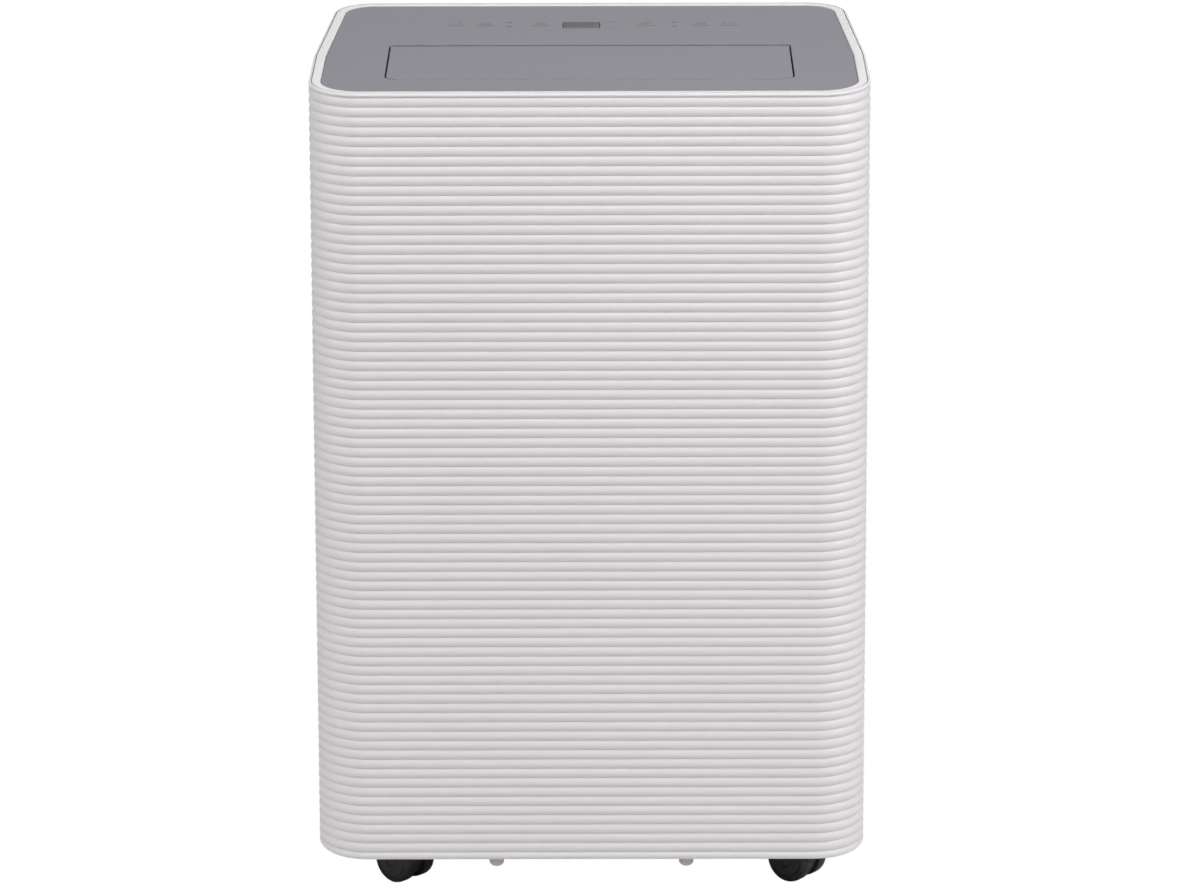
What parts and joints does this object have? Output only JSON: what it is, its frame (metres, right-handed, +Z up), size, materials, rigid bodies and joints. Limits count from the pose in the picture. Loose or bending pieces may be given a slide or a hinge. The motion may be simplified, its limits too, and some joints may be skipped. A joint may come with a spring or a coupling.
{
  "type": "portable air conditioner",
  "caption": "Portable room air conditioner on swivel casters, with ribbed cabinet, top touch panel, tilting air flap, rear filters and hose outlet.",
  "frame": {"origin": "on the floor, under the middle of the cabinet", "axes": "+Z up; -Y is the front; +X is to the right of someone who faces the front"},
  "size_m": [0.45, 0.36, 0.685],
  "materials": {
    "white_shell": "fine satin texture",
    "grey_panel": "satin",
    "dark_window": "smoked gloss",
    "black_plastic": "satin",
    "foot_grey": "matt",
    "duct_plastic": "matt",
    "fan_plastic": "satin",
    "foam": "moulded foam beads",
    "aluminium_fins": "pressed foil",
    "copper_tube": "drawn copper tube",
    "steel": "galvanised",
    "black_steel": "black gloss paint",
    "circuit_board": "solder resist",
    "capacitor_can": "drawn can",
    "black_rubber": "matt",
    "filter_mesh": "woven mesh in a moulded frame"
  },
  "bodies": {
    "cabinet": {"front_cover": "white_shell", "rear_cover": "white_shell", "grip_left": "white_shell", "grip_right": "white_shell", "base_pan": "white_shell", "exhaust_collar": "white_shell", "exhaust_guard": "white_shell", "top_panel": "grey_panel", "display_lens": "dark_window", "cord_gland": "black_plastic", "front_foot_left": "foot_grey", "front_foot_right": "foot_grey", "outlet_duct": "duct_plastic", "exhaust_duct": "duct_plastic", "upper_scroll": "foam", "lower_scroll": "foam", "mid_deck": "foam", "condenser_coil": "aluminium_fins", "evaporator_coil": "aluminium_fins", "discharge_pipe": "copper_tube", "suction_pipe": "copper_tube", "liquid_pipe": "copper_tube", "upper_fan_motor": "steel", "lower_fan_motor": "steel", "flap_motor": "steel", "control_box": "steel", "control_box_cover": "steel", "compressor": "black_steel", "accumulator": "black_steel", "display_board": "circuit_board", "main_board": "circuit_board", "run_capacitor": "capacitor_can", "rubber_mount_1": "black_rubber", "rubber_mount_2": "black_rubber", "rubber_mount_3": "black_rubber"},
    "flap": {"air_flap": "grey_panel"},
    "vane_1": {"vane_1": "duct_plastic"},
    "vane_2": {"vane_2": "duct_plastic"},
    "vane_3": {"vane_3": "duct_plastic"},
    "vane_4": {"vane_4": "duct_plastic"},
    "vane_5": {"vane_5": "duct_plastic"},
    "vane_link": {"vane_link": "duct_plastic"},
    "upper_fan": {"upper_fan": "fan_plastic"},
    "lower_fan": {"lower_fan": "fan_plastic"},
    "upper_intake": {"upper_grille": "white_shell", "upper_filter": "filter_mesh"},
    "lower_intake": {"lower_grille": "white_shell", "lower_filter": "filter_mesh"},
    "drain_plug": {"drain_plug": "black_rubber"},
    "drain_cap": {"drain_cap": "black_rubber"},
    "front_left_caster": {"front_left_caster_fork": "black_plastic"},
    "front_left_caster_wheels": {"front_left_caster_wheels": "black_plastic"},
    "front_right_caster": {"front_right_caster_fork": "black_plastic"},
    "front_right_caster_wheels": {"front_right_caster_wheels": "black_plastic"},
    "rear_left_caster": {"rear_left_caster_fork": "black_plastic"},
    "rear_left_caster_wheels": {"rear_left_caster_wheels": "black_plastic"},
    "rear_right_caster": {"rear_right_caster_fork": "black_plastic"},
    "rear_right_caster_wheels": {"rear_right_caster_wheels": "black_plastic"}
  },
  "joints": [
    {"name": "flap_hinge", "type": "hinge", "parent": "cabinet", "child": "flap", "pos_m": [0, 0.005, 0.6777], "axis": [-1, 0, 0], "range_deg": [0, 80]},
    {"name": "vane_1_tilt", "type": "hinge", "parent": "cabinet", "child": "vane_1", "pos_m": [-0.10987, -0.05545, 0.6572], "axis": [0, 1, 0], "range_deg": [-25, 25]},
    {"name": "vane_2_tilt", "type": "hinge", "parent": "cabinet", "child": "vane_2", "pos_m": [-0.05493, -0.05545, 0.6572], "axis": [0, 1, 0], "range_deg": [-25, 25]},
    {"name": "vane_3_tilt", "type": "hinge", "parent": "cabinet", "child": "vane_3", "pos_m": [0, -0.05545, 0.6572], "axis": [0, 1, 0], "range_deg": [-25, 25]},
    {"name": "vane_4_tilt", "type": "hinge", "parent": "cabinet", "child": "vane_4", "pos_m": [0.05493, -0.05545, 0.6572], "axis": [0, 1, 0], "range_deg": [-25, 25]},
    {"name": "vane_5_tilt", "type": "hinge", "parent": "cabinet", "child": "vane_5", "pos_m": [0.10987, -0.05545, 0.6572], "axis": [0, 1, 0], "range_deg": [-25, 25]},
    {"name": "vane_link_slide", "type": "slide", "parent": "cabinet", "child": "vane_link", "axis": [1, 0, 0], "range_m": [-0.005, 0.005]},
    {"name": "upper_fan_spin", "type": "hinge", "parent": "cabinet", "child": "upper_fan", "pos_m": [0, -0.046, 0.506], "axis": [0, 1, 0], "continuous": true},
    {"name": "lower_fan_spin", "type": "hinge", "parent": "cabinet", "child": "lower_fan", "pos_m": [0.07, 0.059, 0.1585], "axis": [0, 1, 0], "continuous": true},
    {"name": "upper_intake_pull", "type": "slide", "parent": "cabinet", "child": "upper_intake", "axis": [0, 1, 0], "range_m": [0, 0.06]},
    {"name": "lower_intake_pull", "type": "slide", "parent": "cabinet", "child": "lower_intake", "axis": [0, 1, 0], "range_m": [0, 0.06]},
    {"name": "drain_plug_pull", "type": "slide", "parent": "cabinet", "child": "drain_plug", "axis": [0, 1, 0], "range_m": [0, 0.03]},
    {"name": "drain_cap_pull", "type": "slide", "parent": "cabinet", "child": "drain_cap", "axis": [0, 1, 0], "range_m": [0, 0.03]},
    {"name": "front_left_caster_swivel", "type": "hinge", "parent": "cabinet", "child": "front_left_caster", "pos_m": [-0.163, -0.097, 0.0445], "axis": [0, 0, 1], "continuous": true},
    {"name": "front_left_caster_roll", "type": "hinge", "parent": "front_left_caster", "child": "front_left_caster_wheels", "pos_m": [-0.15557, -0.10369, 0.0195], "axis": [-0.6691, -0.7431, 0], "continuous": true},
    {"name": "front_right_caster_swivel", "type": "hinge", "parent": "cabinet", "child": "front_right_caster", "pos_m": [0.163, -0.097, 0.0445], "axis": [0, 0, 1], "continuous": true},
    {"name": "front_right_caster_roll", "type": "hinge", "parent": "front_right_caster", "child": "front_right_caster_wheels", "pos_m": [0.17109, -0.10288, 0.0195], "axis": [-0.5878, -0.809, 0], "continuous": true},
    {"name": "rear_left_caster_swivel", "type": "hinge", "parent": "cabinet", "child": "rear_left_caster", "pos_m": [-0.15, 0.112, 0.0445], "axis": [0, 0, 1], "continuous": true},
    {"name": "rear_left_caster_roll", "type": "hinge", "parent": "rear_left_caster", "child": "rear_left_caster_wheels", "pos_m": [-0.14658, 0.1026, 0.0195], "axis": [-0.9397, -0.342, 0], "continuous": true},
    {"name": "rear_right_caster_swivel", "type": "hinge", "parent": "cabinet", "child": "rear_right_caster", "pos_m": [0.15, 0.112, 0.0445], "axis": [0, 0, 1], "continuous": true},
    {"name": "rear_right_caster_roll", "type": "hinge", "parent": "rear_right_caster", "child": "rear_right_caster_wheels", "pos_m": [0.15574, 0.10381, 0.0195], "axis": [-0.8192, -0.5736, 0], "continuous": true}
  ],
  "couplings": [
    {"joint": "vane_1_tilt", "follows": "vane_link_slide", "rad_per_m": -86.957},
    {"joint": "vane_2_tilt", "follows": "vane_link_slide", "rad_per_m": -86.957},
    {"joint": "vane_3_tilt", "follows": "vane_link_slide", "rad_per_m": -86.957},
    {"joint": "vane_4_tilt", "follows": "vane_link_slide", "rad_per_m": -86.957},
    {"joint": "vane_5_tilt", "follows": "vane_link_slide", "rad_per_m": -86.957}
  ]
}
